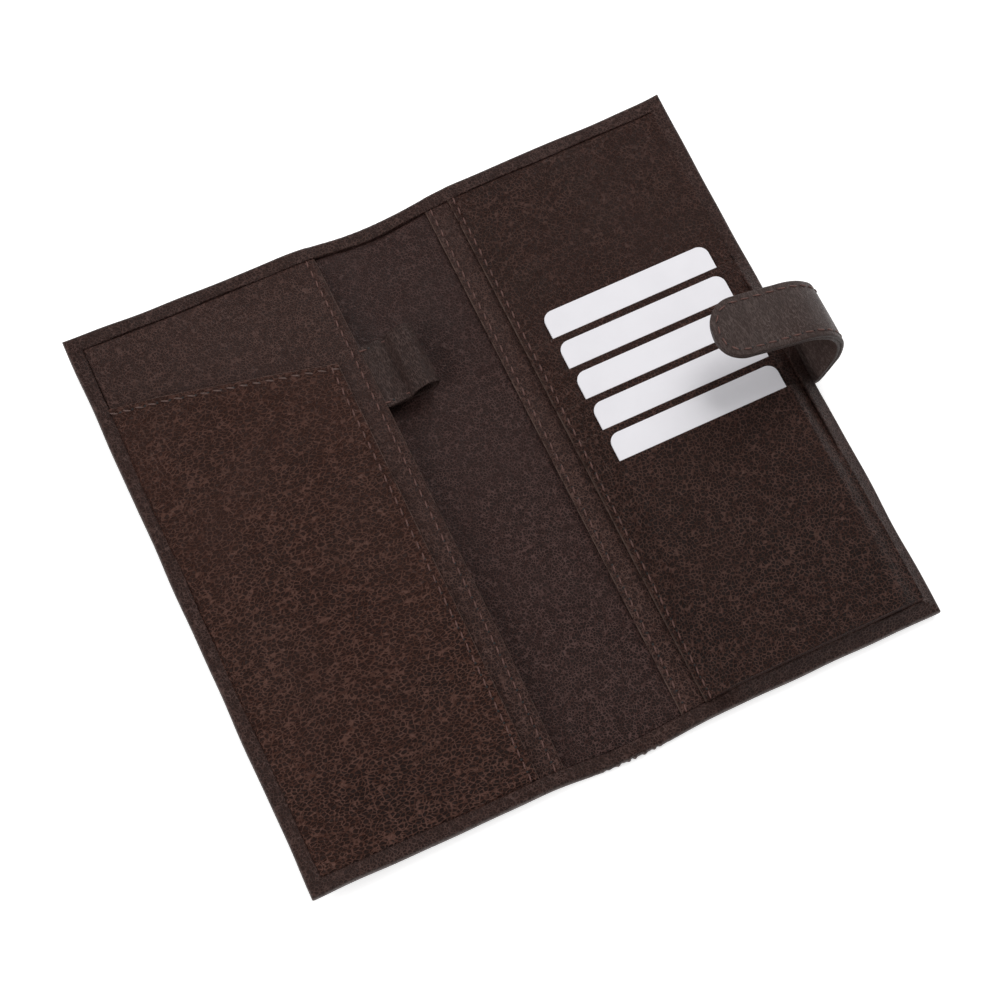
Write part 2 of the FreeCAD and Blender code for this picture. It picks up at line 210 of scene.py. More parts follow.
def leather_piece(name, x, y, top, bottom, worn=None, bottom_y=None, bottom_x=None):
    """Closed sheet from an upper and a lower grid in mm, with walls round its sides."""
    across, along = x.shape
    bottom_x = x if bottom_x is None else bottom_x
    bottom_y = y if bottom_y is None else bottom_y
    upper = np.stack([x, y, top], -1).reshape(-1, 3)
    lower = np.stack([bottom_x, bottom_y, bottom], -1).reshape(-1, 3)
    mark = np.arange(across * along).reshape(across, along)
    under = mark + across * along
    faces = []

    def strip(a, b, c, d):
        faces.append(np.stack([a.ravel(), b.ravel(), c.ravel(), d.ravel()], -1))

    strip(mark[:-1, :-1], mark[1:, :-1], mark[1:, 1:], mark[:-1, 1:])
    strip(under[:-1, 1:], under[1:, 1:], under[1:, :-1], under[:-1, :-1])
    strip(under[:-1, 0], under[1:, 0], mark[1:, 0], mark[:-1, 0])
    strip(mark[:-1, -1], mark[1:, -1], under[1:, -1], under[:-1, -1])
    strip(mark[0, :-1], mark[0, 1:], under[0, 1:], under[0, :-1])
    strip(under[-1, :-1], under[-1, 1:], mark[-1, 1:], mark[-1, :-1])
    mesh = bpy.data.meshes.new(name)
    mesh.from_pydata((np.concatenate([upper, lower]) * MM).tolist(), [], np.concatenate(faces).tolist())
    if worn is not None:
        wear = mesh.attributes.new("wear", "FLOAT", "POINT")
        wear.data.foreach_set("value", np.concatenate([worn.ravel(), worn.ravel()]).astype(np.float32))
    return finished(name, mesh)


def finished(name, mesh, sharp=48):
    """Merge a mesh's doubled points, smooth it and stand it in the scene."""
    work = bmesh.new()
    work.from_mesh(mesh)
    bmesh.ops.remove_doubles(work, verts=work.verts, dist=0.002 * MM)
    bmesh.ops.dissolve_degenerate(work, edges=work.edges, dist=0.001 * MM)
    work.to_mesh(mesh)
    work.free()
    mesh.shade_smooth()
    mesh.set_sharp_from_angle(angle=math.radians(sharp))
    piece = bpy.data.objects.new(name, mesh)
    bpy.context.collection.objects.link(piece)
    return piece


class Wire:
    """One socket of a finish; arithmetic on it adds Math nodes."""

    def __init__(self, finish, socket):
        self.finish = finish
        self.socket = socket

    def math(self, operation, first, second):
        return self.finish.node("ShaderNodeMath", {"operation": operation}, {0: first, 1: second})

    def __add__(self, other):
        return self.math("ADD", self, other)

    __radd__ = __add__

    def __sub__(self, other):
        return self.math("SUBTRACT", self, other)

    def __rsub__(self, other):
        return self.math("SUBTRACT", other, self)

    def __mul__(self, other):
        return self.math("MULTIPLY", self, other)

    __rmul__ = __mul__

    def step(self, low, high):
        """Smooth step of this value from 0 at low to 1 at high."""
        return self.finish.node("ShaderNodeMapRange", {"interpolation_type": "SMOOTHSTEP"},
                                {"Value": self, "From Min": low, "From Max": high})


class Finish:
    """A material that is put together node by node."""

    def __init__(self, name):
        self.material = bpy.data.materials.new(name)
        self.material.use_nodes = True
        self.tree = self.material.node_tree
        self.shader = self.tree.nodes["Principled BSDF"]

    def node(self, kind, settings, values, output=0):
        made = self.tree.nodes.new(kind)
        for key, value in settings.items():
            setattr(made, key, value)
        for key, value in values.items():
            if isinstance(value, Wire):
                self.tree.links.new(value.socket, made.inputs[key])
            else:
                made.inputs[key].default_value = value
        return Wire(self, made.outputs[output])

    def place(self, stretch=(1, 1, 1)):
        """Where on the object a point is, stretched for the pattern that reads it."""
        spot = self.node("ShaderNodeTexCoord", {}, {}, "Object")
        return self.node("ShaderNodeVectorMath", {"operation": "MULTIPLY"}, {0: spot, 1: stretch})

    def noise(self, place, scale, detail=3.0, rough=0.55, output="Fac"):
        return self.node("ShaderNodeTexNoise", {},
                         {"Vector": place, "Scale": scale, "Detail": detail, "Roughness": rough}, output)

    def cells(self, place, scale):
        """Distance from the creases between grain cells."""
        return self.node("ShaderNodeTexVoronoi", {"feature": "DISTANCE_TO_EDGE"},
                         {"Vector": place, "Scale": scale}, "Distance")

    def mix(self, share, first, second):
        made = self.tree.nodes.new("ShaderNodeMix")
        made.data_type = "RGBA"
        for index, value in ((0, share), (6, first), (7, second)):
            if isinstance(value, Wire):
                self.tree.links.new(value.socket, made.inputs[index])
            else:
                made.inputs[index].default_value = value
        return Wire(self, made.outputs[2])

    def wear(self, key, value):
        """Join a value to the shader, or set it there."""
        if isinstance(value, Wire):
            self.tree.links.new(value.socket, self.shader.inputs[key])
        else:
            self.shader.inputs[key].default_value = value


def leather(name, warm, cool, crease, cell, depth, stretch=(1, 1, 1), rough=0.5, low_end=0.0,
            raw=(0.16, 0.105, 0.085, 1), grain=1.0):
    """Dyed leather: raised ridges made pale by a painted highlight round pits with painted shade, in coarser
    and smoother patches, the smoother ones coloured darker.
    Cell is the grain's size in mm and depth its relief; low_end makes the lower end coarser.
    Grain is how much the cells stand out, in relief and in their painted highlight and shade."""
    skin = Finish(name)
    place = skin.place(stretch)
    swirl = skin.noise(place, 260.0, 2.0, 0.5, "Color")
    swirl = skin.node("ShaderNodeVectorMath", {"operation": "SCALE"}, {0: swirl, "Scale": 0.0013})
    bent = skin.node("ShaderNodeVectorMath", {"operation": "ADD"}, {0: place, 1: swirl})
    patch = skin.noise(skin.place(), 38.0, 3.0).step(0.34, 0.66)
    split = skin.node("ShaderNodeSeparateXYZ", {}, {0: skin.place()}, "Y")
    lower = (split * -1.0).step(-0.05, 0.075) * low_end
    strong = (patch * 0.25 + 0.75 - low_end * 0.55 + lower) * grain
    ridge = 1 - skin.cells(bent, 1 / (cell * MM)).step(0.02, 0.19)
    small = 1 - skin.cells(bent, 2.3 / (cell * MM)).step(0.0, 0.22)
    pore = skin.noise(place, 2600.0, 2.0)
    relief = (ridge * 0.75 + small * 0.3) * strong + pore * 0.15
    height = skin.node("ShaderNodeBump", {}, {"Strength": 1.0, "Distance": depth * MM, "Height": relief},
                       "Normal")
    tone = skin.mix(skin.noise(skin.place(), 55.0, 4.0, 0.6).step(0.36, 0.64), warm, cool)
    # The pits take the dark crease colour: painted shade in the hollows of the grain.
    tone = skin.mix((1 - ridge) * strong * 0.75, tone, crease)
    tone = skin.mix((1 - strong) * 0.7, tone, crease)
    # Pale grey, broken streaks on the ridges are painted highlights: glints of the lamps on the raised grain,
    # not the leather's own colour.
    glint = skin.noise(place, 520.0, 2.0).step(0.34, 0.62) * 0.75 + 0.2
    tone = skin.mix(ridge * strong * glint, tone, tuple(value * 2.1 + 0.018 for value in cool[:3]) + (1,))
    edge = skin.node("ShaderNodeAttribute", {"attribute_name": "wear"}, {}, "Fac")
    rubbed = edge * skin.noise(skin.place(), 420.0, 3.0).step(0.25, 0.6)
    tone = skin.mix(rubbed, tone, raw)
    skin.wear("Base Color", tone)
    skin.wear("Roughness", skin.noise(skin.place(), 300.0) * 0.2 + (rough - 0.1) + (1 - ridge) * 0.1)
    skin.wear("Normal", height)
    skin.wear("Specular IOR Level", 0.18)
    return skin.material


cover_skin = leather("cover_skin", (0.038, 0.0145, 0.0100, 1), (0.037, 0.0165, 0.0125, 1),
                     (0.010, 0.004, 0.003, 1), 0.95, 0.34, rough=0.42,
                     raw=(0.10, 0.075, 0.068, 1), grain=0.75)


def front_mouth(x):
    """The slanting line of the front pocket's mouth."""
    return front_high - front_drop * (x + hem_line_x) / (hem_line_x + front_edge)


def hem_layers(x, y, inward):
    """How much the layers under the turned hem raise it, most at its inner side."""
    step_left = 0.3 * ease(-x, -pocket_edge, -pocket_edge + 0.9)
    mouth = front_mouth(x)
    step_front = 0.3 * ease(-x, -front_edge, -front_edge + 0.9) * ease(-y, -mouth, -mouth + 0.9)
    step_right = 0.2 * ease(x, slip_first, slip_first + 0.8) + 0.2 * ease(x, slip_second, slip_second + 0.8)
    cards_end = 2.4 * ease(x, 29, 37) * ease(-y, 70, 86)
    cards_side = 2.4 * ease(x, 85, 92) * ease(-y, -36, -20)
    slope = ease(inward, 0.6, hem_wide)
    return step_left + step_front + step_right + slope * np.maximum(cards_end, cards_side)


def gathers(x):
    """Small pleats where the hem is pushed together over the spine."""
    near = np.exp(-((x / 9.5) ** 4))
    return near * (np.sin(x * 2.3 + 0.8 * np.sin(x * 0.9)) + 0.6 * np.sin(x * 3.9 + 1.1)) / 1.6


def make_cover(name, low, high, slack_side):
    """One half of the cover as a tray: thin under the lining and thick at the turned hem."""
    hem_lines = np.array([3.7, 4.05, 4.3, 4.42, 4.5, 4.56, 4.75, 5.2])
    spine_lines = np.arange(max(low, -14), min(high, 14) + 0.01, 0.45)
    inner_lines = low + hem_lines if slack_side < 0 else high - hem_lines
    xs = spread(low, high, 1.5, np.concatenate([spine_lines, inner_lines]))
    ys = spread(-half_height, half_height, 1.5,
                np.concatenate([-half_height + hem_lines, half_height - hem_lines]))
    x, y = np.meshgrid(xs, ys, indexing="ij")
    from_side = half_width - np.abs(x)
    from_end = half_height - np.abs(y)
    inward = np.minimum(from_side, from_end)
    on_hem = hem_top + hem_layers(x, y, inward) - rounded(inward, cut_edge) - rounded(hem_wide - inward, 0.35)
    on_hem = on_hem + 0.09 * ripple(x, y, 3, 17)
    pleat = gathers(x) * ease(-y, 82, half_height)
    on_hem = on_hem + 0.26 * pleat + 0.12 * gathers(x + 5) * ease(y, 84, half_height)
    top = np.where(inward <= hem_wide + 0.001, on_hem, 1.2)
    bottom = rounded(inward, cut_edge)
    waver = 0.22 * ripple(x, y, 8, 33) * np.exp(-(((inward - hem_wide) / 1.2) ** 2))
    uneven = 0.16 * ripple(x, y, 9, 26) * (1 - ease(inward, 0, 3))
    out_x = np.where(from_side < from_end, np.sign(x) * (waver + uneven), 0)
    out_y = np.where(from_side >= from_end, np.sign(y) * (waver + uneven), 0)
    out_y = out_y - 0.35 * pleat * (1 - ease(inward, 0, 4))
    high_up = lift(x, y)
    worn = 1 - ease(inward, 0.1, 0.5)
    return leather_piece(name, x + out_x, y + out_y + pull(x, y), top + high_up, bottom + high_up, worn)


fold_reach = 4.5
fold_height = 2.6


def across_fold(piece, side):
    """Bake a piece's placement into its mesh; the fold line's points are worked out but not used."""
    near = Vector((side * (fold_x - fold_reach), 0, fold_height)) * MM
    far = Vector((side * (fold_x + fold_reach), 0, fold_height)) * MM
    if side < 0:
        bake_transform(piece)
    else:
        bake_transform(piece)


cover_left = make_cover("leather_cover_left", -half_width, 0.0, -1)
cover_left.data.materials.append(cover_skin)
across_fold(cover_left, -1)
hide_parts("cover_left", "board_left", "keeper_plate", "hem_left_side", "hem_left_top",
            "hem_left_bottom")

cover_right = make_cover("leather_cover_right", 0.0, half_width, 1)
cover_right.data.materials.append(cover_skin)
across_fold(cover_right, 1)
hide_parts("cover_right", "cover_spine", "board_right", "stay_spine", "hem_spine_top",
            "hem_spine_bottom", "hem_right_side", "hem_right_top", "hem_right_bottom")


# --------------------------------------------------------------------- lining
# Thin smooth leather glued over the boards and tucked under the hem. Only the part over
# the spine is seen, with a soft valley at each fold line.
lining_top = 2.3
lining_bottom = 1.1
tuck = 0.45

lining_skin = leather("lining_skin", (0.030, 0.0095, 0.0070, 1), (0.031, 0.0120, 0.0095, 1),
                      (0.010, 0.004, 0.003, 1), 0.90, 0.22, rough=0.42, low_end=0.5)


def under_hem(x, y, depth=0.55):
    """A sheet dives towards the hem that holds it down."""
    inward = np.minimum(hem_line_x - np.abs(x), hem_line_y - np.abs(y))
    return rounded(np.clip(inward, 0, None), depth)


def lining_height(x, y):
    """Upper face of the lining, off the table's level."""
    valley = 0.1 * np.exp(-(((np.abs(x) - fold_x) / 1.8) ** 2))
    wave = 0.13 * ripple(x, y, 21, 38) + 0.10 * ripple(x, y, 22, 15) * ease(np.abs(y), 50, 86)
    return lining_top - valley + wave - under_hem(x, y)


for name, low, high, side, hidden in (
    ("leather_lining_left", -hem_line_x - tuck, 0.0, -1, ("lining_left",)),
    ("leather_lining_right", 0.0, hem_line_x + tuck, 1, ("lining_right", "lining_spine")),
):
    near_spine = np.arange(max(low, -24), min(high, 24) + 0.01, 0.8)
    xs = spread(low, high, 3.0, near_spine)
    ys = spread(-hem_line_y - tuck, hem_line_y + tuck, 1.4)
    x, y = np.meshgrid(xs, ys, indexing="ij")
    top = lining_height(x, y) + lift(x, y)
    lining = leather_piece(name, x, y + pull(x, y), top, lining_bottom + lift(x, y))
    lining.data.materials.append(lining_skin)
    across_fold(lining, side)
    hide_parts(*hidden)


# ------------------------------------------------------------ passport pocket
# A wide smooth leather sheet held by the hem on three sides. Its turned and stitched free
# edge stands open beside the spine.
pocket_skin_thick = 0.9
pocket_seam = 2.65
pocket_puff = 2.9
pocket_base = 3.2

pocket_skin = leather("pocket_skin", (0.037, 0.0130, 0.0085, 1), (0.038, 0.0155, 0.0110, 1),
                      (0.012, 0.005, 0.004, 1), 0.90, 0.26, rough=0.42, low_end=0.45)


def pocket_height(x, y):
    """Upper face of the passport pocket, which swells towards its open edge."""
    ends = 1 - np.clip(np.abs(y) / hem_line_y, 0, 1) ** 3.5
    swell = pocket_puff * ends * ease(x, -hem_line_x, -hem_line_x + 22)
    ridge = 0.22 * np.exp(-(((x - pocket_edge + 1.2) / 1.0) ** 2))
    groove = 0.16 * np.exp(-(((x - pocket_edge + pocket_seam) / 0.5) ** 2))
    wave = 0.22 * ripple(x, y, 31, 47) + 0.08 * ripple(x, y, 32, 14) * ease(-y, 20, 80)
    return pocket_base + swell + ridge - groove + wave * ease(hem_line_y - np.abs(y), 0, 8)


def mesh_sheet(name, xs, ys, height, thick, free_x=None, free_y=None, radius=0.42):
    """Closed flat sheet whose free edges are rounded over and rubbed pale."""
    x, y = np.meshgrid(xs, ys, indexing="ij")
    free = np.full(x.shape, 9.0)
    if free_x is not None:
        free = np.minimum(free, np.abs(x - free_x))
    if free_y is not None:
        free = np.minimum(free, np.abs(y - free_y))
    top = height(x, y) - rounded(free, radius) - under_hem(x, y)
    bottom = np.minimum(height(x, y) - thick, top - 0.12)
    worn = 0.85 * (1 - ease(free, 0.0, 0.32))
    up = lift(x, y)
    return leather_piece(name, x, y + pull(x, y), top + up, bottom + up, worn)


pocket_lines_x = spread(-hem_line_x - tuck, pocket_edge, 1.4, pocket_edge - np.arange(0, 5, 0.35))
pocket_lines_y = spread(-hem_line_y - tuck, hem_line_y + tuck, 1.4)
pocket = mesh_sheet("passport_pocket", pocket_lines_x, pocket_lines_y, pocket_height,
                    pocket_skin_thick, free_x=pocket_edge)
pocket.data.materials.append(pocket_skin)
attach(pocket, "left_half")
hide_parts("pocket_panel", "pocket_seam_top", "pocket_seam_bottom", "pocket_seam_side")


# --------------------------------------------------------------- front pocket
# A second, coarser sheet on the passport pocket, with a slanting mouth. It is stitched
# down along its right edge and along its turned mouth.
front_thick = 1.0
front_seam = 2.3
mouth_seam = 1.9

front_skin = leather("front_skin", (0.050, 0.0150, 0.0080, 1), (0.046, 0.0165, 0.0100, 1),
                     (0.010, 0.003, 0.002, 1), 1.10, 0.55, stretch=(0.72, 1.1, 1), rough=0.38,
                     low_end=0.45, raw=(0.18, 0.12, 0.10, 1))


def front_height(x, y):
    """Upper face of the front pocket."""
    to_mouth = front_mouth(x) - y
    turned = 0.18 * np.exp(-(((to_mouth - 1.2) / 1.1) ** 2))
    grooves = 0.15 * np.exp(-(((to_mouth - mouth_seam) / 0.5) ** 2))
    grooves = grooves + 0.15 * np.exp(-(((front_edge - front_seam - x) / 0.5) ** 2))
    open_mouth = 0.7 * np.exp(-((to_mouth / 9) ** 2)) * ease(front_edge - x, 1, 20) * ease(x, -93, -75)
    swell = 0.45 * ease(x, -93, -80) * ease(front_edge - x, 0, 14) * ease(hem_line_y - np.abs(y), 0, 12)
    wave = 0.22 * ripple(x, y, 41, 34) * ease(hem_line_y - np.abs(y), 0, 10)
    return pocket_height(x, y) + front_thick + turned - grooves + open_mouth + swell + wave


front_across = spread(-hem_line_x - tuck, front_edge, 1.2, front_edge - np.arange(0, 4, 0.35))
front_along = spread(0, 150, 1.35, 150 - np.arange(0, 5, 0.35)) / 150
front_x, share = np.meshgrid(front_across, front_along, indexing="ij")
front_y = -hem_line_y - tuck + share * (front_mouth(front_x) + hem_line_y + tuck)
front_free = np.minimum(front_edge - front_x, front_mouth(front_x) - front_y)
front_top = front_height(front_x, front_y) - rounded(front_free, 0.5) - under_hem(front_x, front_y)
front_bottom = np.minimum(front_height(front_x, front_y) - front_thick, front_top - 0.12)
front_worn = 0.9 * (1 - ease(front_free, 0.0, 0.35))
front_up = lift(front_x, front_y)
front = leather_piece("front_pocket_sheet", front_x, front_y, front_top + front_up,
                      front_bottom + front_up, front_worn)
front.data.materials.append(front_skin)
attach(front, "left_half")
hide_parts("front_pocket")


# ------------------------------------------------------------------- pen loop
# A short strap folded round into a flat tube. Its two ends lie together as a tab that is
# sewn under the passport pocket's free edge.
loop_low = corners("pen_loop")[0].y
loop_high = corners("pen_loop")[1].y
loop_right = corners("pen_loop")[1].x
loop_skin = 0.85
loop_wide = 4.0
loop_tall = 2.75
loop_tilt = math.radians(11)
loop_middle = (loop_right - loop_wide - 0.5, 7.3)
tab_start = pocket_edge - 3.0
tab_level = 5.15

loop_line = []
for part in np.linspace(0, 1, 8):
    loop_line.append((tab_start + part * (loop_middle[0] - loop_wide - tab_start - 0.7), tab_level))
for turn in np.radians(np.linspace(-158, 158, 44)):
    across = loop_wide * math.cos(turn)
    high = loop_tall * math.sin(turn) * (1 + 0.16 * math.cos(turn))
    loop_line.append((
        loop_middle[0] + across * math.cos(loop_tilt) - high * math.sin(loop_tilt),
        loop_middle[1] + across * math.sin(loop_tilt) + high * math.cos(loop_tilt),
    ))
for part in np.linspace(1, 0, 8):
    loop_line.append((tab_start + part * (loop_middle[0] - loop_wide - tab_start - 0.7),
                      tab_level + loop_skin + 0.08))
loop_line = np.array(loop_line)
loop_run = np.gradient(loop_line, axis=0)
loop_run = loop_run / np.linalg.norm(loop_run, axis=1, keepdims=True)
loop_out = np.stack([loop_run[:, 1], -loop_run[:, 0]], -1)
loop_across = spread(loop_low, loop_high, 0.9)


def loop_layer(offset):
    """One face of the folded strap as a grid over its length and its width."""
    place = np.arange(len(loop_line))
    side_round = rounded(np.minimum(loop_across - loop_low, loop_high - loop_across), 0.3)
    u, v = np.meshgrid(place, loop_across, indexing="ij")
    crease = 0.07 * ripple(u * 1.1, v * 0.35, 51, 6)
    shift = offset - np.sign(offset) * side_round[None, :] + crease
    x = loop_line[:, 0][:, None] + loop_out[:, 0][:, None] * shift
    z = loop_line[:, 1][:, None] + loop_out[:, 1][:, None] * shift
    skew = 0.9 * ease(x, tab_start, loop_right) * (1 - 2 * (v - loop_low) / (loop_high - loop_low)) * 0.3
    return x, v + skew, z


outer_x, outer_y, outer_z = loop_layer(loop_skin / 2)
inner_x, inner_y, inner_z = loop_layer(-loop_skin / 2)
pen_loop = leather_piece("pen_loop_strap", inner_x, inner_y, inner_z, outer_z,
                         bottom_y=outer_y, bottom_x=outer_x)
loop_leather = leather("loop_skin", (0.038, 0.018, 0.014, 1), (0.040, 0.022, 0.018, 1),
                       (0.010, 0.004, 0.003, 1), 0.8, 0.30, stretch=(1.5, 0.5, 1.5), rough=0.42,
                       grain=0.6)
pen_loop.data.materials.append(loop_leather)


def close_with_fold(piece):
    """Attach a piece to the left half and give it its own copy of its mesh."""
    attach(piece, "left_half")
    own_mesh(piece)


close_with_fold(pen_loop)
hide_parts("pen_loop")


# ----------------------------------------------------------- first slip panel
# The lower of two long panels on the right cover. Only a strip of it shows beside the
# panel above, with a raw cut edge and one row of stitches.
slip_thick = 0.6
slip_base = 2.95
slip_seam = 1.7


def free_edge(x, y, edge):
    """Curl along a slip panel's free edge, less the groove that its stitches pull."""
    curl = 0.55 * (1 - ease(x, edge, edge + 4)) * (1 - np.clip(np.abs(y) / 88, 0, 1) ** 6)
    return curl - 0.12 * np.exp(-(((x - edge - slip_seam) / 0.5) ** 2))


def slip_height(x, y):
    """Upper face of the first slip panel."""
    return slip_base + free_edge(x, y, slip_first) + 0.06 * ripple(x, y, 61, 30)


slip_lines = spread(slip_first, hem_line_x + tuck, 3.5, slip_first + np.arange(0, 9, 0.45))
slip = mesh_sheet("slip_panel_lower", slip_lines, pocket_lines_y, slip_height, slip_thick, free_x=slip_first)
slip.data.materials.append(pocket_skin)
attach(slip, "right_half")
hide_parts("slip_panel_first")


# ----------------------------------------------------------------- card slots
# The upper panel carries five card slots, each a lip of leather over the card below.
# The slots are real cavities, as deep as the cards go, and they step up like stairs.
card_shows = 8.5
slot_pitch = 1.06
slot_lip = 0.27
slots_base = 3.9
slot_count = 5
slot_open_left = card_low.x - 0.5
slot_open_right = card_high.x + 0.5
card_length = card_high.y - card_low.y
slot_deep = card_length - card_shows + 0.1
mouths = [corners("card_%d" % (number + 1))[1].y - card_shows for number in range(slot_count)]
levels = [slots_base + slot_pitch * number for number in range(slot_count + 1)]

slot_skin = leather("slot_skin", (0.034, 0.0095, 0.0052, 1), (0.033, 0.0115, 0.0070, 1),
                    (0.008, 0.003, 0.002, 1), 1.10, 0.50, rough=0.40, low_end=0.5)


def stair(y):
    """Level of the leather between the mouths."""
    level = levels[0]
    for number, mouth in enumerate(mouths):
        level = np.where(y < mouth - 0.0005, levels[number + 1], level)
    return level


def slope_beside(y):
    """Level of the plain margin beside the slots."""
    half = (mouths[0] - mouths[1]) / 2
    ys = [mouths[-1] - half] + mouths[::-1] + [mouths[0] + half]
    between = [(levels[number] + levels[number + 1]) / 2 for number in reversed(range(slot_count))]
    zs = [levels[-1]] + between + [levels[0]]
    return np.interp(y, ys, zs)


slot_rows = []
for y in np.arange(-hem_line_y - 0.2, mouths[-1] - 0.5, 1.4):
    slot_rows.append(("plain", y, 0))
for number in reversed(range(slot_count)):
    mouth = mouths[number]
    high = levels[number + 1]
    floor = levels[number]
    slot_rows += [
        ("plain", mouth - 0.35, 0), ("edge", mouth - 0.10, high - 0.03), ("edge", mouth, high - 0.13),
        ("edge", mouth, high - slot_lip), ("deep", mouth, high - slot_lip), ("deep", mouth, floor),
        ("edge", mouth, floor),
    ]
    upper = mouths[number - 1] - 0.4 if number else hem_line_y - 1.2
    for y in np.linspace(mouth + 0.4, upper, max(2, round((upper - mouth) / 1.3))):
        slot_rows.append(("plain", y, 0))
for y in (hem_line_y - 0.7, hem_line_y - 0.35, hem_line_y - 0.1, hem_line_y + tuck):
    slot_rows.append(("plain", y, 0))

slot_lines = spread(slip_second, hem_line_x + tuck, 1.3, np.concatenate([
    slip_second + np.arange(0, 9, 0.4),
    [slot_open_left, slot_open_left + 0.03, slot_open_right - 0.03, slot_open_right],
]))
slot_x = np.repeat(slot_lines[:, None], len(slot_rows), 1)
slot_y = np.zeros(slot_x.shape)
slot_z = np.zeros(slot_x.shape)
stairs_in = ease(slot_lines, slot_open_left - 1.6, slot_open_left)
hollow = (slot_lines > slot_open_left + 0.01) & (slot_lines < slot_open_right - 0.01)
down_right = ease(slot_lines, slot_open_right + 0.3, hem_line_x + 0.2)


def margin_level(x, y):
    """Plain leather beside the slots, low at the stitched edge and high at the slots."""
    rise = 0.7 * np.clip((x - slip_second) / (slot_open_left - slip_second), 0, 1)
    rise = rise + 0.3 * ease(x, slip_second, slot_open_left)
    thin = 0.4 * ease(y, 44, 60)
    return levels[0] + (slope_beside(y) - levels[0]) * rise + free_edge(x, y, slip_second) - thin


for column, x in enumerate(slot_lines):
    for row, (kind, y, level) in enumerate(slot_rows):
        side = margin_level(x, y)
        if kind == "plain":
            level = float(stair(y)) - 0.4 * ease(y, 44, 60)
        z = side + (level - side) * stairs_in[column]
        low = levels[0] - 0.2
        at_hem = low + 1.6 + 2.2 * float(ease(-y, 20, 80))
        z = z + (min(z, at_hem) - z) * down_right[column]
        slot_y[column, row] = y - (slot_deep if kind == "deep" and hollow[column] else 0)
        slot_z[column, row] = z
plain_rows = np.array([kind == "plain" for kind, _, _ in slot_rows])
relaxed = ripple(slot_x, slot_y, 71, 31) * 0.16 * ease(mouths[-1] - 4 - slot_y, 0, 20)
relaxed = relaxed + ripple(slot_x, slot_y, 72, 40) * 0.10 * ease(slot_y, mouths[0] + 12, mouths[0] + 30)
relaxed = np.where(plain_rows[None, :], np.abs(relaxed) * ease(slot_x, slip_second, slip_second + 6), 0)
slot_free = slot_x - slip_second
slot_up = np.where(slot_y > 40, lift(slot_x, slot_y), arch(slot_x))
edge_of_hem = ease(hem_line_x - 3 - slot_x, 0, 4)
slot_up = slot_up + (lift(slot_x, slot_y) - slot_up) * (1 - edge_of_hem)
slot_top = slot_z + relaxed + slot_up - rounded(slot_free, 0.4)
top_tuck = rounded(np.clip(hem_line_y - slot_y, 0, None), 0.9) * (slot_y > 0)
slot_top = slot_top - top_tuck
under_y = np.repeat(np.linspace(-hem_line_y - 0.2, hem_line_y + tuck, len(slot_rows))[None, :],
                    len(slot_lines), 0)
slot_under = slip_base - 0.05 + 0.45 * (1 - ease(slot_x, slip_second, slip_second + 4))
slot_under = slot_under + lift(slot_x, under_y)
slot_worn = 0.85 * (1 - ease(slot_free, 0.0, 0.32))
lip_rows = np.array([kind == "edge" for kind, _, _ in slot_rows])
slot_worn = np.maximum(slot_worn, np.where(lip_rows[None, :], 0.25, 0.0))
card_block = leather_piece("card_slot_panel", slot_x, slot_y + pull(slot_x, slot_y), slot_top, slot_under,
                           slot_worn, under_y + pull(slot_x, under_y))
card_block.data.materials.append(slot_skin)
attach(card_block, "right_half")
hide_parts("slip_panel_second", "card_panel", "slot_seam_left", "slot_seam_right",
            "slot_sheet_1", "slot_sheet_2", "slot_sheet_3", "slot_sheet_4")


# ---------------------------------------------------------------------- cards
# Five blank white plastic cards with round corners, one in each slot. Each lies on the
# lip of the slot above and stands out of its own by the same amount.
card_thick = card_high.z - card_low.z
card_round = 3.18
card_bevel = 0.09

card_white = Finish("card_white")
dust = card_white.noise(card_white.place(), 90.0, 4.0).step(0.3, 0.75)
card_white.wear("Base Color", card_white.mix(dust, (0.80, 0.785, 0.82, 1), (0.77, 0.755, 0.79, 1)))
card_white.wear("Roughness", card_white.noise(card_white.place(), 700.0) * 0.12 + 0.30)
card_grain = card_white.noise(card_white.place(), 1800.0, 2.0)
card_white.wear("Normal", card_white.node("ShaderNodeBump", {}, {
    "Strength": 0.15, "Distance": 0.02 * MM, "Height": card_grain}, "Normal"))


def card_outline(low, high, inset):
    """Rounded rectangle, a little inside the card's own edge."""
    points = []
    radius = card_round - inset
    for corner, (sign_x, sign_y) in enumerate(((1, 1), (-1, 1), (-1, -1), (1, -1))):
        middle_x = (high.x - card_round) if sign_x > 0 else (low.x + card_round)
        middle_y = (high.y - card_round) if sign_y > 0 else (low.y + card_round)
        for turn in np.radians(np.linspace(90 * corner, 90 * corner + 90, 10)):
            points.append((middle_x + radius * math.cos(turn), middle_y + radius * math.sin(turn)))
    return points


def ring_body(name, outlines, sharp):
    """Closed body skinned over outlines of points in mm, one after another."""
    shape = bmesh.new()
    rings = [[shape.verts.new(Vector(point) * MM) for point in outline] for outline in outlines]
    for lower, upper in zip(rings, rings[1:]):
        for index in range(len(lower)):
            after = (index + 1) % len(lower)
            shape.faces.new((lower[index], lower[after], upper[after], upper[index]))
    shape.faces.new(list(reversed(rings[0])))
    shape.faces.new(rings[-1])
    bmesh.ops.recalc_face_normals(shape, faces=shape.faces)
    mesh = bpy.data.meshes.new(name)
    shape.to_mesh(mesh)
    shape.free()
    return finished(name, mesh, sharp)


card_gap = 0.015
for number in range(slot_count):
    low, high = corners("card_%d" % (number + 1))
    base = levels[number] + card_gap + float(arch(low.x))
    card = ring_body("blank_card_%d" % (number + 1), [
        [(x, y, base + level) for x, y in card_outline(low, high, inset)]
        for inset, level in (
            (card_bevel, 0), (0, card_bevel), (0, card_thick - card_bevel), (card_bevel, card_thick))
    ], 40)
    card.data.materials.append(card_white.material)
    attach(card, "card_%d" % (number + 1))
    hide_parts("card_%d" % (number + 1))


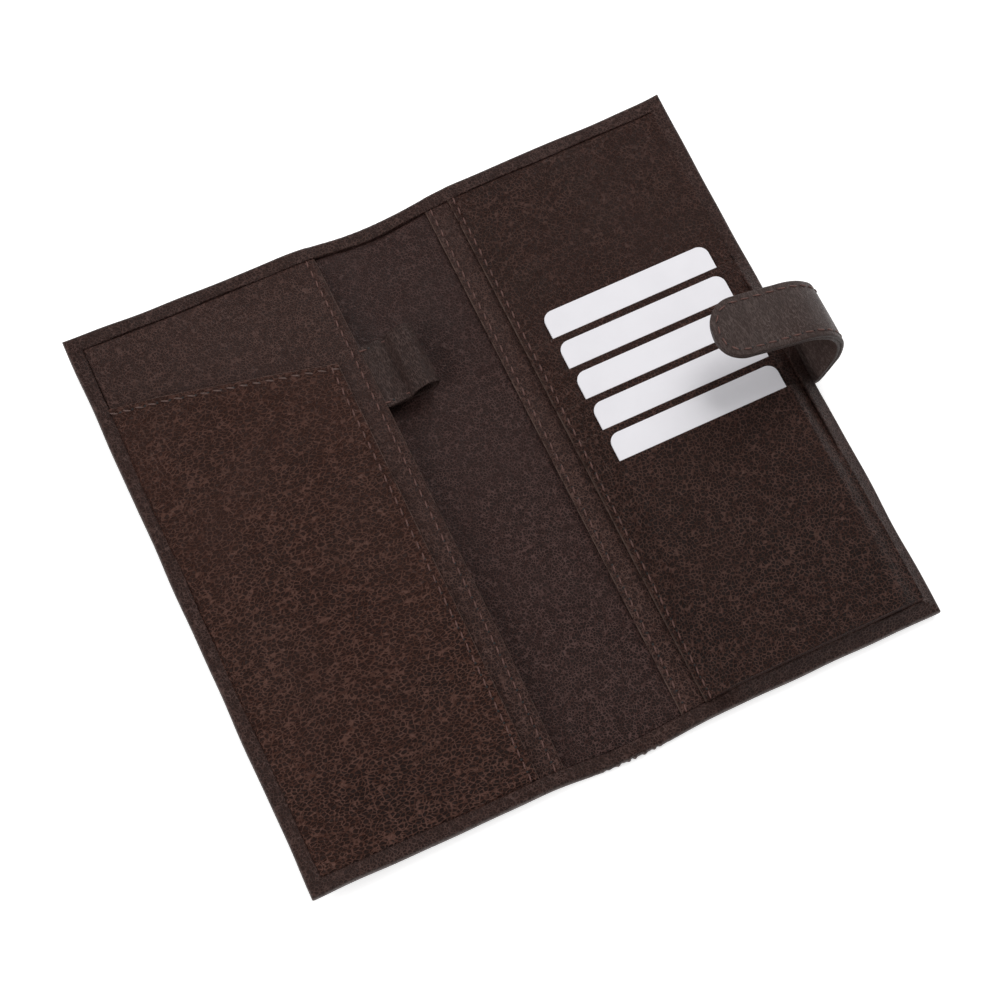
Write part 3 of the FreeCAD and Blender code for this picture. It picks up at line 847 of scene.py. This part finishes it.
# ---------------------------------------------------------------------- strap
# Two skins of leather glued back to back, sewn round the edge. It leaves the right
# cover's outer edge, bends over itself and ends in a rounded tongue with a magnet inside.
strap_wide = corners("strap_root_face")[1].y - corners("strap_root_face")[0].y
strap_half = strap_wide / 2
strap_skin_thick = 1.3
strap_start = (half_width + 1.6, 2.0)
strap_rise = math.radians(57)
strap_lead = 8.9
strap_radius = 11.4
strap_fall = math.radians(180)
strap_tail = 23.3
strap_corner = 8.4
strap_skew = math.radians(8.6)
strap_offset = -3.55
strap_begin = -5.0
arc_length = strap_radius * (strap_fall - strap_rise)
bend_middle = (
    strap_start[0] + strap_lead * math.cos(strap_rise) - strap_radius * math.sin(strap_rise),
    strap_start[1] + strap_lead * math.sin(strap_rise) + strap_radius * math.cos(strap_rise),
)
strap_end = (strap_lead + arc_length + strap_tail) / math.cos(strap_skew)
strap_join = (strap_lead + strap_radius * (math.radians(62) - strap_rise)) / math.cos(strap_skew)


def strap_path(run):
    """Place and heading of the strap's middle line at a distance from its root."""
    if run < strap_lead:
        away = max(run, 0)
        x = strap_start[0] + away * math.cos(strap_rise) + min(run, 0)
        z = strap_start[1] + away * math.sin(strap_rise) + 1.2 * (1 - float(ease(run, 0, strap_lead)))
        return x, z, strap_rise * float(ease(run, -1.5, 2.5))
    heading = strap_rise + min((run - strap_lead) / strap_radius, strap_fall - strap_rise)
    x = bend_middle[0] + strap_radius * math.sin(heading)
    z = bend_middle[1] - strap_radius * math.cos(heading)
    beyond = max(0, run - strap_lead - arc_length)
    return x + beyond * math.cos(heading), z + beyond * math.sin(heading), heading


def strap_point(along, across, out):
    """A point of the strap: along it, across it and out from its middle."""
    run = along * math.cos(strap_skew) - across * math.sin(strap_skew)
    x, z, heading = strap_path(run)
    y = strap_offset + along * math.sin(strap_skew) + across * math.cos(strap_skew)
    return x + out * math.sin(heading), y, z - out * math.cos(heading)


def strap_half_at(along):
    """Half of the strap's width, which narrows round the tongue's end."""
    left = strap_end - along
    if left >= strap_corner:
        return strap_half
    return strap_half - strap_corner + math.sqrt(max(0, strap_corner ** 2 - (strap_corner - left) ** 2))


def strap_section(half):
    """Section of both skins, as places across and out, with a groove between them."""
    side = [(0.9, 1.30), (0.45, 1.24), (0.14, 1.08), (0.0, 0.72), (0.05, 0.32), (0.32, 0.05)]
    right = [(half - inset, out) for inset, out in side]
    right += [(half - inset, -out) for inset, out in reversed(side)]
    inner = np.linspace(half - 0.9, -half + 0.9, 14)[1:-1]
    under = [(place, -1.30 - 0.05 * (1 - (place / half) ** 2)) for place in inner]
    over = []
    for place in inner[::-1]:
        dimple = 0.10 * math.exp(-(((strap_half - 2.0 - abs(place)) / 0.7) ** 2))
        over.append((place, 1.30 + 0.10 * (1 - (place / half) ** 2) - dimple))
    left = [(-place, -out) for place, out in right]
    return right + under + left + over


def make_strap(name, begin, end, tip):
    """A length of the strap as a closed mesh."""
    places = list(np.linspace(begin, end - (strap_corner if tip else 0), 64))
    if tip:
        places += [strap_end - strap_corner * (1 - math.sin(math.radians(turn)))
                   for turn in range(6, 87, 5)]
        places += [strap_end - 0.01]
    outlines = []
    for along in places:
        half = max(strap_half_at(along), 0.95)
        wrinkle = float(0.06 * ripple(np.array(along), 0.0, 81, 5))
        outlines.append([strap_point(along, across, out + wrinkle) for across, out in strap_section(half)])
    return ring_body(name, outlines, 60)


strap_leather = leather("strap_skin", (0.056, 0.034, 0.029, 1), (0.062, 0.042, 0.037, 1),
                        (0.020, 0.010, 0.008, 1), 0.8, 0.26, stretch=(2.2, 0.42, 2.2), rough=0.38,
                        grain=0.45)
strap_root = make_strap("strap_root_length", strap_begin, strap_join, False)
strap_root.data.materials.append(strap_leather)
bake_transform(strap_root)
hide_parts("strap_root_face", "strap_root_lining")

strap_tip = make_strap("strap_tongue", strap_join, strap_end, True)
strap_tip.data.materials.append(strap_leather)
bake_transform(strap_tip)
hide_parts("strap_tip_face", "strap_tip_lining", "strap_magnet")


# ------------------------------------------------------------------- stitches
# Waxed dark red-brown thread, a stitch every 3.7 mm that dips into a needle hole at each end, where a
# near-black blob stands for the hole's painted shade. The front pocket's mouth is sewn with a paler twisted
# thread.
stitch_slant = 0.12
stitch_sizes = {"Pitch": 3.7, "Length": 2.8, "Thick": 0.58, "Opening": 0.75, "Depth": 0.28}


def thread_finish(name, colour):
    """Twisted thread with a fine slanting lay."""
    thread = Finish(name)
    lay = thread.noise(thread.place(), 3500.0, 1.0)
    dark = tuple(part * 0.55 for part in colour[:3]) + (1,)
    thread.wear("Base Color", thread.mix(lay.step(0.4, 0.6), colour, dark))
    thread.wear("Roughness", 0.6)
    thread.wear("Normal", thread.node("ShaderNodeBump", {}, {
        "Strength": 0.5, "Distance": 0.05 * MM, "Height": lay}, "Normal"))
    return thread.material


dark_thread = thread_finish("dark_thread", (0.125, 0.052, 0.040, 1))
pale_thread = thread_finish("pale_thread", (0.120, 0.066, 0.054, 1))
# Near-black painted shade that fills each needle hole.
needle_hole_shade = thread_finish("needle_hole_shade", (0.003, 0.002, 0.002, 1))


def stitch_tree():
    """Nodes that lay stitches along a line of points, with a near-black blob of painted shade at each needle
    hole.
    """
    tree = bpy.data.node_groups.new("stitch_row", "GeometryNodeTree")
    sockets = {}
    for name, kind, value in [("Geometry", "NodeSocketGeometry", None)] + [
        (key, "NodeSocketFloat", size * MM) for key, size in stitch_sizes.items()
    ] + [
        ("Slant", "NodeSocketFloat", stitch_slant), ("Thread", "NodeSocketMaterial", None),
        ("Hole", "NodeSocketMaterial", None),
    ]:
        socket = tree.interface.new_socket(name, in_out="INPUT", socket_type=kind)
        if value is not None:
            socket.default_value = value
        sockets[name] = socket.identifier
    tree.interface.new_socket("Geometry", in_out="OUTPUT", socket_type="NodeSocketGeometry")

    def add(kind, values=(), **settings):
        made = tree.nodes.new(kind)
        for key, value in settings.items():
            setattr(made, key, value)
        for key, value in dict(values).items():
            if isinstance(value, bpy.types.NodeSocket):
                tree.links.new(value, made.inputs[key])
            else:
                made.inputs[key].default_value = value
        return made

    given = add("NodeGroupInput").outputs
    line = add("GeometryNodeMeshToCurve", {"Mesh": given["Geometry"]}).outputs[0]
    ball = add("GeometryNodeMeshUVSphere", {"Segments": 8, "Rings": 5, "Radius": 1.0}).outputs[0]
    ball = add("GeometryNodeSetShadeSmooth", {"Geometry": ball}).outputs[0]
    half_pitch = add("ShaderNodeMath", {0: given["Pitch"], 1: 0.5}, operation="MULTIPLY").outputs[0]
    later = add("GeometryNodeTrimCurve", {"Curve": line}, mode="LENGTH")
    tree.links.new(half_pitch, later.inputs[4])
    later.inputs[5].default_value = 10.0
    ends = []
    for row, flat, wide, tall, paint in (
        (line, given["Length"], given["Thick"], given["Thick"], given["Thread"]),
        (later.outputs[0], given["Opening"], given["Opening"], given["Depth"], given["Hole"]),
    ):
        points = add("GeometryNodeCurveToPoints", {"Curve": row, "Length": given["Pitch"]}, mode="LENGTH")
        aside = add("ShaderNodeVectorMath", {0: points.outputs["Tangent"], 1: (0, 0, 1)},
                    operation="CROSS_PRODUCT")
        leaning = add("ShaderNodeVectorMath", {0: aside.outputs[0]}, operation="SCALE")
        tree.links.new(given["Slant"], leaning.inputs["Scale"])
        heading = add("ShaderNodeVectorMath", {0: points.outputs["Tangent"], 1: leaning.outputs[0]},
                      operation="ADD")
        turned = add("FunctionNodeAlignRotationToVector", {"Vector": heading.outputs[0]}, axis="X")
        size = add("ShaderNodeCombineXYZ", {"X": flat, "Y": wide, "Z": tall})
        half = add("ShaderNodeVectorMath", {0: size.outputs[0], "Scale": 0.5}, operation="SCALE")
        placed = add("GeometryNodeInstanceOnPoints", {
            "Points": points.outputs["Points"], "Instance": ball,
            "Rotation": turned.outputs[0], "Scale": half.outputs[0]})
        solid = add("GeometryNodeRealizeInstances", {"Geometry": placed.outputs[0]})
        ends.append(add("GeometryNodeSetMaterial", {"Geometry": solid.outputs[0], "Material": paint}))
    joined = add("GeometryNodeJoinGeometry")
    for end in ends:
        tree.links.new(end.outputs[0], joined.inputs[0])
    tree.links.new(joined.outputs[0], add("NodeGroupOutput").inputs[0])
    return tree, sockets


stitching, stitch_sockets = stitch_tree()


def sew(name, rows, thread, slant=stitch_slant, length=stitch_sizes["Length"]):
    """Stitch along rows of points in mm and return the stitches as one plain mesh."""
    points = []
    edges = []
    for row in rows:
        first = len(points)
        points += [tuple(v * MM for v in point) for point in row]
        edges += [(first + step, first + step + 1) for step in range(len(row) - 1)]
    guide = bpy.data.objects.new(name + "_guide", bpy.data.meshes.new(name + "_guide"))
    guide.data.from_pydata(points, edges, [])
    bpy.context.collection.objects.link(guide)
    maker = guide.modifiers.new("stitches", "NODES")
    maker.node_group = stitching
    for key, size in dict(stitch_sizes, Length=length).items():
        maker[stitch_sockets[key]] = size * MM
    maker[stitch_sockets["Slant"]] = slant
    maker[stitch_sockets["Thread"]] = thread
    maker[stitch_sockets["Hole"]] = needle_hole_shade
    ready = guide.evaluated_get(bpy.context.evaluated_depsgraph_get())
    mesh = bpy.data.meshes.new_from_object(ready)
    bpy.data.objects.remove(guide)
    stitches = bpy.data.objects.new(name, mesh)
    bpy.context.collection.objects.link(stitches)
    return stitches


def seam(height, starts, ends, count=90):
    """Points just on a sheet's upper face, from one place to another."""
    row = []
    for share in np.linspace(0, 1, count):
        x = starts[0] + (ends[0] - starts[0]) * share
        y = starts[1] + (ends[1] - starts[1]) * share
        z = float(height(np.array(x), np.array(y)) + lift(np.array(x), np.array(y)))
        row.append((x, y + float(pull(np.array(x), np.array(y))), z + 0.02))
    return row


seam_end = hem_line_y - 1.2
left_rows = [
    seam(pocket_height, (pocket_edge - pocket_seam, -seam_end), (pocket_edge - pocket_seam, seam_end)),
    seam(front_height, (front_edge - front_seam, -seam_end),
         (front_edge - front_seam, front_mouth(front_edge) - 1.5)),
]
left_stitches = sew("stitches_left", left_rows, dark_thread)
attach(left_stitches, "left_half")

mouth_ends = [(x, front_mouth(x) - mouth_seam) for x in (-hem_line_x + 0.8, front_edge - 1.6)]
mouth_row = seam(front_height, *mouth_ends)
mouth_stitches = sew("stitches_front_mouth", [mouth_row], pale_thread, 0.28, 2.9)
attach(mouth_stitches, "left_half")


def slot_margin(x, y):
    """Upper panel's face along its stitched edge."""
    up = arch(x) if y < 40 else lift(x, y)
    return margin_level(x, y) - lift(x, y) + up


right_rows = [
    seam(height, (edge + slip_seam, -seam_end), (edge + slip_seam, seam_end))
    for height, edge in ((slip_height, slip_first), (slot_margin, slip_second))
]
right_stitches = sew("stitches_right", right_rows, dark_thread)
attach(right_stitches, "right_half")

loop_seam = np.linspace(pocket_edge + 0.6, loop_middle[0] - loop_wide - 0.6, 12)
loop_rows = [[(x, y, tab_level + 1.5 * loop_skin + 0.1) for x in loop_seam]
             for y in (loop_low + 1.5, loop_high - 1.5)]
loop_stitches = sew("stitches_pen_loop", loop_rows, dark_thread)
close_with_fold(loop_stitches)

strap_inset = 2.0


def strap_seam(begin, end, tip):
    """Rows near both edges of the strap, which meet round the tongue's end."""
    near = []
    far = []
    for along in np.linspace(begin, end - (strap_corner if tip else 0), 40):
        near.append(strap_point(along, -strap_half + strap_inset, strap_skin_thick))
        far.append(strap_point(along, strap_half - strap_inset, strap_skin_thick))
    if not tip:
        return [near, far]
    inner = strap_corner - strap_inset
    for turn in np.radians(np.arange(8, 91, 8)):
        along = strap_end - strap_corner + inner * math.sin(turn)
        half = strap_half - strap_corner + inner * math.cos(turn)
        near.append(strap_point(along, -half, strap_skin_thick + 0.06))
        far.append(strap_point(along, half, strap_skin_thick + 0.06))
    return [near + far[::-1]]


root_stitches = sew("stitches_strap_root", strap_seam(1.5, strap_join - 0.8, False), dark_thread)
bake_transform(root_stitches)
tongue_stitches = sew("stitches_strap_tongue", strap_seam(strap_join + 0.8, strap_end, True), dark_thread)
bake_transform(tongue_stitches)
